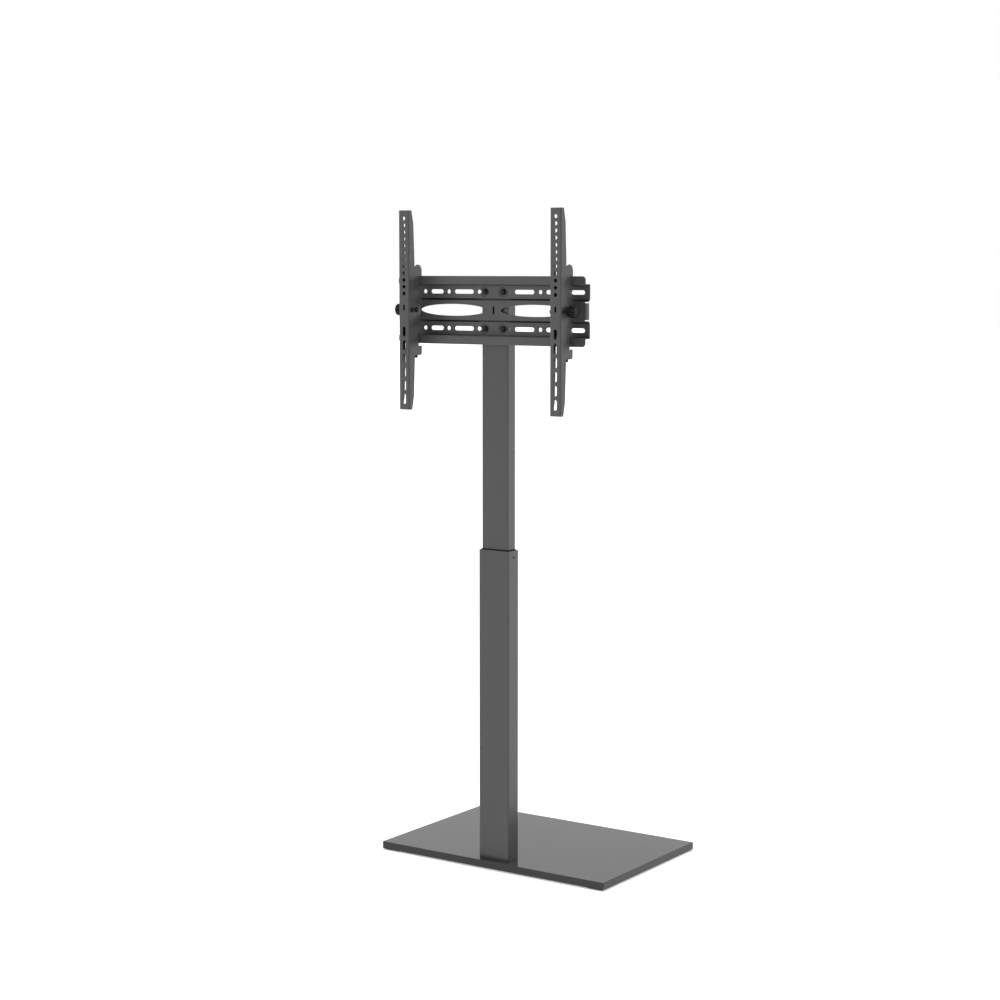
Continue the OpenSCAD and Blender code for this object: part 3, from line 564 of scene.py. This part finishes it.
def arm_sheet(side):
    """The flat pattern of an arm, and the place of each of its points."""
    half = arm_outline()
    outline = half + [(-u, v) for u, v in reversed(half)]
    first = ARM_TOP - TOP_HOLE
    last = first - LOW_SLOT
    holes = [circle_loop(0, first - HOLE_PITCH * k, HOLE_R, 24) for k in range(HOLE_COUNT)]
    holes += [slot_loop(0, last + SLOT_PITCH * k, SLOT_L, SLOT_W, True) for k in range(SLOT_COUNT)]
    holes.append(slot_loop(0, *SMALL_SLOT, True, 6))
    folds = []
    for s in (1, -1):
        holes.append(circle_loop(s * arm_across(PIVOT_Y), 0, PIVOT_HOLE_R, 24))
        holes.append([(s * u, v) for u, v in curved_slot()])
        lines = [ARM_FLAT + FOLD_L * k / 6 for k in range(7)]
        for u in lines + [ARM_FLAT - FOLD_EDGE, ARM_FLAT + FOLD_L + FOLD_EDGE]:
            folds.append(((s * u, ARM_LOW - 1), (s * u, ARM_TOP + 1)))

    def place(u, v):
        a, s = abs(u), 1 if u >= 0 else -1
        if a <= ARM_FLAT:
            x, depth = a, SHEET / 2
        elif a <= ARM_FLAT + FOLD_L:
            turn = (a - ARM_FLAT) / FOLD_R
            x = ARM_FLAT + FOLD_R * math.sin(turn)
            depth = SHEET / 2 + FOLD_R * (1 - math.cos(turn))
        else:
            x, depth = ARM_MID, SHEET / 2 + FOLD_R + a - ARM_FLAT - FOLD_L
        return (side * ARM_X + s * x, ARM_FACE_Y + depth, PIVOT_Z + v)

    return cut_pattern(outline, holes, folds), place


for side, label in ((-1, "left"), (1, "right")):
    pattern, place = arm_sheet(side)
    settle(bent_sheet("arm_" + label + "_sheet", pattern, place, 0.3), "arm_" + label)


# Rail

ARC_STEPS = 6


def rounded_line(corners):
    """A line through (depth, height, radius) corners, each rounded by an arc."""
    points = [Vector(corner[:2]) for corner in corners]
    line = [points[0]]
    for a, b, c, corner in zip(points, points[1:], points[2:], corners[1:]):
        radius = corner[2]
        u, v = (a - b).normalized(), (c - b).normalized()
        half = math.acos(max(-1.0, min(1.0, u.dot(v)))) / 2
        reach = radius / math.tan(half)
        centre = b + (u + v).normalized() * radius / math.sin(half)
        start, stop = b + u * reach - centre, b + v * reach - centre
        sweep = start.angle_signed(stop)
        for k in range(ARC_STEPS + 1):
            q = -sweep * k / ARC_STEPS
            line.append(centre + Vector((
                start.x * math.cos(q) - start.y * math.sin(q),
                start.x * math.sin(q) + start.y * math.cos(q))))
    line.append(points[-1])
    return line


LIP_BEND = 2.2
GROOVE_BEND = 1.05
RAIL_HALF = [
    (LIP_MID, RAIL_TOP, 0), (LIP_MID, RAIL_TOP - LIP_H, LIP_BEND),
    (BAND_MID, RAIL_TOP - LIP_H, LIP_BEND), (BAND_MID, GROOVE_OUT, GROOVE_BEND),
    (BAND_MID + GROOVE_DEPTH, GROOVE_OUT - GROOVE_WALLS[0], GROOVE_BEND),
    (BAND_MID + GROOVE_DEPTH, GROOVE_IN, GROOVE_BEND),
    (PANEL_MID, GROOVE_IN - GROOVE_WALLS[1], GROOVE_BEND),
]
RAIL_LINE = rounded_line(RAIL_HALF + [(d, -h, r) for d, h, r in reversed(RAIL_HALF)])
RAIL_REACH = [0.0]
for first, second in zip(RAIL_LINE, RAIL_LINE[1:]):
    RAIL_REACH.append(RAIL_REACH[-1] + (second - first).length)
RAIL_MIDDLE = RAIL_REACH[-1] / 2


def rail_along(depth, height):
    """Distance along the rail's section to the point next to a depth and height."""
    spot, best = Vector((depth, height)), None
    for k, (a, b) in enumerate(zip(RAIL_LINE, RAIL_LINE[1:])):
        step = b - a
        share = max(0.0, min(1.0, (spot - a).dot(step) / max(step.dot(step), 1e-12)))
        off = (a + step * share - spot).length
        if best is None or off < best[0]:
            best = (off, RAIL_REACH[k] + step.length * share)
    return best[1]


def rail_spot(along):
    """Point of the rail's section, as depth and height, at a distance along it."""
    along = max(0.0, min(RAIL_REACH[-1], along))
    for k in range(len(RAIL_LINE) - 1):
        if along <= RAIL_REACH[k + 1]:
            a, b = RAIL_LINE[k], RAIL_LINE[k + 1]
            span = max(RAIL_REACH[k + 1] - RAIL_REACH[k], 1e-9)
            return a + (b - a) * (along - RAIL_REACH[k]) / span
    return RAIL_LINE[-1]


def rail_outline(panel_end, tongue_end):
    """Outline of the rail's pattern, with the notches beside the tongues of its panel."""
    end, middle, whole = RAIL_LEN / 2, RAIL_MIDDLE, RAIL_REACH[-1]
    notch = middle - rail_along(PANEL_MID, NOTCH_HALF)
    wide = middle - rail_along(BAND_MID, NOTCH_HALF + 1.4 * NOTCH_SLANT)
    relief = panel_end - RELIEF[0]
    quarter = [(CORNER_R - CORNER_R * math.cos(math.pi / 16 * k),
                end - CORNER_R + CORNER_R * math.sin(math.pi / 16 * k)) for k in range(9)]
    upper = quarter + [
        (middle - wide, end), (middle - notch, end - NOTCH_SLANT),
        (middle - notch, relief), (middle - TONGUE_HALF - RELIEF[2], panel_end - RELIEF[1]),
        (middle - TONGUE_HALF, relief), (middle - TONGUE_HALF, tongue_end)]
    one_end = upper + [(whole - u, v) for u, v in reversed(upper)]
    return one_end + [(u, -v) for u, v in reversed(one_end)]


def rail_sheet():
    """The flat pattern of the rail, and the place of each of its points."""
    end, middle, whole = RAIL_LEN / 2, RAIL_MIDDLE, RAIL_REACH[-1]
    panel_end = end - PANEL_SHORT
    fold_at = panel_end - SHEET / 2 - FOLD_R
    outline = rail_outline(panel_end, fold_at + FOLD_L + TONGUE - FOLD_R - SHEET / 2)
    holes, rings = [], []
    for sign in (1, -1):
        row = rail_along(BAND_MID, sign * ROW_Z)
        for s in (1, -1):
            for x in ROW_HOLES:
                holes.append(circle_loop(row, s * x, ROW_W / 2, 24))
            for x, length in ROW_SLOTS:
                holes.append(slot_loop(row, s * x, length, ROW_W, True))
            holes.append(circle_loop(row, s * BOLT_X, BOLT_HOLE_R, 20))
            for radius in SEAT_RINGS:
                rings.append(circle_loop(row, s * BOLT_X, radius, 40))
    for s in (1, -1):
        turns = [math.pi / 36 * k for k in range(72)]
        holes.append([(middle + OVAL_HALF[1] * math.sin(a),
                       s * OVAL_X + OVAL_HALF[0] * math.cos(a)) for a in turns])
    holes.append(slot_loop(middle, 0, *MIDDLE_SLOT, False, 8))
    folds = []
    for reach in RAIL_REACH[1:-1]:
        folds.append(((reach, -end - 20), (reach, end + 20)))
    for s in (1, -1):
        for k in range(7):
            v = s * (fold_at + FOLD_L * k / 6)
            folds.append(((middle - TONGUE_HALF - 0.5, v), (middle + TONGUE_HALF + 0.5, v)))
    for x in range(CROSS_FOLD, int(panel_end) + 2, CROSS_FOLD):
        folds += [((-1, x), (whole + 1, x)), ((-1, -x), (whole + 1, -x))]

    def place(u, v):
        spot = rail_spot(u)
        depth, height, x = spot.x, spot.y, v
        s, a = (1 if v >= 0 else -1), abs(v)
        if depth > BAND_MID:
            grown = (a - EXTRA_FROM[0]) / EXTRA_FROM[1]
            left = (EXTRA_TO[0] - a) / EXTRA_TO[1]
            share = max(0.0, min(1.0, grown, left))
            depth += GROOVE_EXTRA * share * (depth - BAND_MID) / GROOVE_DEPTH
        if a > fold_at and abs(u - middle) < TONGUE_HALF + 0.6:
            if a <= fold_at + FOLD_L:
                turn = (a - fold_at) / FOLD_R
                x = s * (fold_at + FOLD_R * math.sin(turn))
                depth += FOLD_R * (1 - math.cos(turn))
            else:
                x = s * (fold_at + FOLD_R)
                depth += FOLD_R + a - fold_at - FOLD_L
        for row in (ROW_Z, -ROW_Z):
            for bolt in (BOLT_X, -BOLT_X):
                off = math.hypot(v - bolt, height - row)
                if off < SEAT_R and abs(depth - BAND_MID) < BAND_NEAR:
                    share = max(0.0, min(1.0, (SEAT_R - off) / (SEAT_R - SEAT_FLAT)))
                    depth += GROOVE_DEPTH * share * share * (3 - 2 * share)
        return (x, ARM_FACE_Y + depth, PIVOT_Z + height)

    return cut_pattern(outline, holes, folds, rings), place


pattern, place = rail_sheet()
settle(bent_sheet("rail_sheet", pattern, place, 0.25), "rail")


# Plain pieces with broken edges

for width, segments, names in (
        (0.35, 2, ("base_plate",)),
        (0.3, 2, ("outer_tube", "inner_tube", "guide_collar", "clamp_boss")),
        (0.5, 2, ("hook_bracket_left", "hook_bracket_right")),
        (0.6, 3, ("foot_pads", "top_cap", "tube_glide")),
        (0.2, 1, ("rail_nuts", "foot_plate", "base_bolts", "collar_screws")),
        (0.3, 2, ("safety_screw_left", "safety_screw_right"))):
    for name in names:
        dressed_copy(name, width, segments)


# Fasteners, each made once and set out by one node tree

def repeat_tree():
    """Copies one piece to the four corners of a rectangle that stands in the XZ plane."""
    tree = bpy.data.node_groups.new("set_out_at_corners", "GeometryNodeTree")
    tree.interface.new_socket("Piece", in_out="INPUT", socket_type="NodeSocketGeometry")
    for label in ("Spacing X", "Spacing Z"):
        tree.interface.new_socket(label, in_out="INPUT", socket_type="NodeSocketFloat")
    tree.interface.new_socket("Centre", in_out="INPUT", socket_type="NodeSocketVector")
    tree.interface.new_socket("Finish", in_out="INPUT", socket_type="NodeSocketMaterial")
    tree.interface.new_socket("Pieces", in_out="OUTPUT", socket_type="NodeSocketGeometry")
    source = tree.nodes.new("NodeGroupInput")
    result = tree.nodes.new("NodeGroupOutput")
    grid = tree.nodes.new("GeometryNodeMeshGrid")
    grid.inputs["Vertices X"].default_value = 2
    grid.inputs["Vertices Y"].default_value = 2
    tree.links.new(source.outputs["Spacing X"], grid.inputs["Size X"])
    tree.links.new(source.outputs["Spacing Z"], grid.inputs["Size Y"])
    stand = tree.nodes.new("GeometryNodeTransform")
    stand.inputs["Rotation"].default_value = (math.pi / 2, 0.0, 0.0)
    tree.links.new(grid.outputs["Mesh"], stand.inputs["Geometry"])
    tree.links.new(source.outputs["Centre"], stand.inputs["Translation"])
    spread = tree.nodes.new("GeometryNodeInstanceOnPoints")
    tree.links.new(stand.outputs["Geometry"], spread.inputs["Points"])
    tree.links.new(source.outputs["Piece"], spread.inputs["Instance"])
    real = tree.nodes.new("GeometryNodeRealizeInstances")
    tree.links.new(spread.outputs["Instances"], real.inputs["Geometry"])
    paint = tree.nodes.new("GeometryNodeSetMaterial")
    tree.links.new(real.outputs["Geometry"], paint.inputs["Geometry"])
    tree.links.new(source.outputs["Finish"], paint.inputs["Material"])
    tree.links.new(paint.outputs["Geometry"], result.inputs["Pieces"])
    return tree


SET_OUT = repeat_tree()


def set_out(piece, node, spacing, centre):
    """Copies the piece to four corners; spacing and centre are in millimetres."""
    modifier = piece.modifiers.new("set_out", "NODES")
    modifier.node_group = SET_OUT
    values = {"Spacing X": spacing[0] * MM, "Spacing Z": spacing[1] * MM,
              "Centre": tuple(c * MM for c in centre), "Finish": FINISHES[FINISH_OF[node]]}
    for item in SET_OUT.interface.items_tree:
        if item.in_out == "INPUT" and item.name in values:
            modifier[item.identifier] = values[item.name]
    settle(piece, node)


BOLT_R = 3.0
BOLT_BORE = 3.1
BOLT_FLATS = 10.0
BOLT_HEAD = 4.0
WASHER = 1.2


def washer(radius, from_x, edge):
    """Flat washer along +X, its rim broken by edge."""
    to_x = from_x + WASHER
    return turned([
        (from_x, BOLT_BORE), (from_x, radius - edge), (from_x + edge, radius),
        (to_x - edge, radius), (to_x, radius - edge), (to_x, BOLT_BORE)], hollow=True)


HEAD_FACE = COLUMN_FACE - SHEET - WASHER
RAIL_CORNERS = ((2 * BOLT_X, 2 * ROW_Z), (0, ARM_FACE_Y, PIVOT_Z))
set_out(new_piece("rail_bolt_set", put(joined(
    hex_head(BOLT_FLATS, BOLT_HEAD, 0), shank(BOLT_R, -12.0, 0.5)), (0, HEAD_FACE, 0), "-Y")),
    "rail_bolts", *RAIL_CORNERS)
set_out(new_piece("rail_washer_set", put(
    washer(7.0, 0, 0.2), (0, HEAD_FACE + WASHER, 0), "-Y")), "rail_washers", *RAIL_CORNERS)


# Star knob of the height clamp

CLAMP_Z = 662.5
CLAMP_HUB_Y = 32.3          # from the middle of the column
STAR_STEPS = 180
STAR_R = 16.0
STAR_CORE = 12.0            # smaller radii of the knob have no flutes
FLUTE_R = 5.12
FLUTE_X = 17.92


def star(a, radius):
    """Radius of the star at an angle: six round flutes, set in as far as the rim is."""
    off = off_side(a)
    inside = FLUTE_R ** 2 - (FLUTE_X * math.sin(off)) ** 2
    if radius < STAR_CORE or inside <= 0:
        return radius
    return min(radius, FLUTE_X * math.cos(off) - math.sqrt(inside) + radius - STAR_R)


def clamp_knob():
    neck, rim = CLAMP_HUB_Y + 4.0, CLAMP_HUB_Y + 16.0
    grip = turned([
        (CLAMP_HUB_Y, 0), (CLAMP_HUB_Y, 6.8), (CLAMP_HUB_Y + 0.4, 7.2), (neck, 7.2),
        (neck, 10.0), (neck, 14.4), (neck + 0.5, 15.4), (neck + 1.6, STAR_R), (rim - 1.6, STAR_R),
        (rim - 0.5, 15.4), (rim, 14.4), (rim, 9.8), (rim + 1.6, 8.2), (rim + 2.0, 7.4),
        (rim + 2.0, 0)], STAR_STEPS, star)
    return put(joined(grip, shank(4.0, 15.3, CLAMP_HUB_Y + 1.0, 1.25)),
               (0, COLUMN_Y, CLAMP_Z), "Y")


settle(new_piece("clamp_knob_star", clamp_knob()), "clamp_knob")


# Tilt bolts, washers and knobs

HEAD_X = ARM_W / 2 + 0.3    # inner face of the heads, out from the middle of the arm
KNOB_X = HEAD_X + 1.5
KNOB_STEPS = 192
KNOB_R = 13.0
KNOB_BORE = 3.2


def lobed(count, depth, deep_from):
    """Radius of a grip with rounded flutes, which fade out towards its middle."""
    def reach(a, radius):
        if radius < deep_from:
            return radius
        wave = 0.5 + 0.5 * math.cos(count * a)
        return radius - depth * wave ** 3
    return reach


# Half profile of the tilt knob from its bore to its dished face, as (along, radius)
KNOB_PROFILE = [
    (0, KNOB_BORE), (0, 8.0), (3.0, 8.0), (3.4, 9.5), (3.6, 12.0), (4.2, 12.75), (5.2, KNOB_R),
    (18.6, KNOB_R), (19.8, 12.75), (20.6, 12.0), (21.0, 10.8), (20.9, 9.6), (20.2, 8.6), (20.1, 0),
]


def tilt_knob():
    """Fluted knob with a blind bore along +X."""
    body = turned([(KNOB_X + x, r) for x, r in KNOB_PROFILE], KNOB_STEPS, lobed(12, 1.5, 10.5))
    end = KNOB_X + 18.0
    bore = turned([(KNOB_X, KNOB_BORE), (end, KNOB_BORE), (end, 0)], KNOB_STEPS)
    whole = joined(body, bore)
    bmesh.ops.remove_doubles(whole, verts=whole.verts, dist=MERGE_DIST)
    bmesh.ops.recalc_face_normals(whole, faces=whole.faces)
    return whole


def socket_head(radius, height, from_x):
    """Low button head along +X with a hexagonal socket."""
    def reach(a, r):
        return r if r > radius * 0.45 else r * 0.96 / math.cos(off_side(a))

    top = from_x + height
    return turned([
        (from_x, 0), (from_x, radius), (from_x + 0.6, radius), (top - 0.7, radius * 0.86),
        (top - 0.15, radius * 0.66), (top, radius * 0.52), (top, radius * 0.42),
        (top - 1.6, radius * 0.4), (top - 1.9, 0),
    ], reach=reach)


def pivot_nut():
    """Hexagonal nut on the inner side of an arm, along -X."""
    face, back = -HEAD_X, -HEAD_X - 4.0
    return turned([
        (face, BOLT_BORE), (face, 4.65), (face - 0.25, 5.0), (back + 0.5, 5.0),
        (back + 0.15, 4.7), (back, 4.4), (back, BOLT_BORE)], reach=hexagon(10.0), hollow=True)


def turned_round(bm):
    """Turns a solid half a turn about Z."""
    return put(bm, (0, 0, 0), "X", True)


for side, label in ((-1, "left"), (1, "right")):
    pivot = (side * ARM_X, ARM_FACE_Y + PIVOT_Y, PIVOT_Z)
    lock = (side * ARM_X, ARM_FACE_Y + LOCK_Y, PIVOT_Z)
    for kind, ending, centre, solid in (
            ("pivot_bolt_", "_turned", pivot, joined(
                socket_head(5.0, 3.0, HEAD_X), shank(BOLT_R, -HEAD_X - 5.0, HEAD_X + 0.5))),
            ("pivot_nut_", "_turned", pivot, pivot_nut()),
            ("lock_bolt_", "_turned", lock, joined(
                turned_round(hex_head(BOLT_FLATS, BOLT_HEAD, HEAD_X)),
                shank(BOLT_R, -HEAD_X - 0.5, KNOB_X + 17.5))),
            ("lock_washer_", "_turned", lock, washer(6.0, HEAD_X, 0.15)),
            ("tilt_knob_", "_grip", lock, tilt_knob())):
        put(solid, centre, "X", side < 0)
        settle(new_piece(kind + label + ending, solid), kind + label)


# Studio

def seen_directly(tree):
    """1 for the rays that show the background itself, 0 for the rays that light the object."""
    path = tree.nodes.new("ShaderNodeLightPath")
    seen = math_node(tree, "MAXIMUM", path.outputs["Is Camera Ray"], path.outputs["Is Glossy Ray"])
    return math_node(tree, "MAXIMUM", seen, path.outputs["Is Transmission Ray"])


FLOOR_HALF = 40


def studio_floor(lift):
    """Pale floor that looks white where it is lit and keeps the shadow of the stand."""
    h = FLOOR_HALF
    mesh = bpy.data.meshes.new("studio_floor")
    mesh.from_pydata([(-h, -h, 0), (h, -h, 0), (h, h, 0), (-h, h, 0)], [], [(0, 1, 2, 3)])
    floor = bpy.data.objects.new("studio_floor", mesh)
    bpy.context.scene.collection.objects.link(floor)
    material = bpy.data.materials.new("studio_floor")
    material.use_nodes = True
    tree = material.node_tree
    shader = tree.nodes["Principled BSDF"]
    shader.inputs["Base Color"].default_value = (0.9, 0.9, 0.9, 1.0)
    shader.inputs["Roughness"].default_value = 1.0
    shader.inputs["Specular IOR Level"].default_value = 0.0
    shader.inputs["Emission Color"].default_value = (1.0, 1.0, 1.0, 1.0)
    glow = math_node(tree, "MULTIPLY", seen_directly(tree), lift)
    tree.links.new(glow, shader.inputs["Emission Strength"])
    mesh.materials.append(material)


def studio_world(level, above):
    """Soft light from all round, which falls to the given share towards straight above."""
    world = bpy.data.worlds.new("studio")
    bpy.context.scene.world = world
    world.use_nodes = True
    tree = world.node_tree
    background = tree.nodes["Background"]
    background.inputs["Color"].default_value = (1.0, 1.0, 1.0, 1.0)
    seen = seen_directly(tree)
    split = tree.nodes.new("ShaderNodeSeparateXYZ")
    tree.links.new(tree.nodes.new("ShaderNodeTexCoord").outputs["Generated"], split.inputs[0])
    height = math_node(tree, "ABSOLUTE", split.outputs["Z"], 0.0)
    fall = math_node(tree, "MULTIPLY", height, level * (above - 1.0))
    fill = math_node(tree, "ADD", fall, level)
    rest = math_node(tree, "SUBTRACT", 1.0, seen)
    fill = math_node(tree, "MULTIPLY", fill, rest)
    tree.links.new(math_node(tree, "ADD", fill, seen), background.inputs["Strength"])


def soft_sun(name, azimuth, elevation, strength, width):
    """A wide soft light far away; azimuth 0 is in front of the stand, and 90 at its right."""
    lamp = bpy.data.lights.new(name, "SUN")
    lamp.energy = strength
    lamp.angle = math.radians(width)
    light = bpy.data.objects.new(name, lamp)
    bpy.context.scene.collection.objects.link(light)
    a, e = math.radians(azimuth), math.radians(elevation)
    away = Vector((math.sin(a) * math.cos(e), -math.cos(a) * math.cos(e), math.sin(e)))
    light.rotation_euler = away.to_track_quat("Z", "Y").to_euler()
    light.visible_glossy = False


def camera():
    lens = bpy.data.cameras.new("camera")
    lens.lens = CAMERA_LENS
    lens.sensor_width = CAMERA_SENSOR
    lens.clip_end = 100.0
    seat = bpy.data.objects.new("camera", lens)
    bpy.context.scene.collection.objects.link(seat)
    seat.location = CAMERA_PLACE
    seat.rotation_euler = (math.radians(CAMERA_PITCH), 0.0, math.radians(CAMERA_TURN))
    bpy.context.scene.camera = seat


studio_floor(lift=0.35)
studio_world(level=0.30, above=0.5)
soft_sun("key_light", azimuth=-52, elevation=3, strength=2.45, width=30)
soft_sun("side_light", azimuth=140, elevation=5, strength=3.1, width=30)
soft_sun("top_light", azimuth=0, elevation=90, strength=2.4, width=30)
camera()
bpy.context.scene.view_settings.view_transform = "Standard"
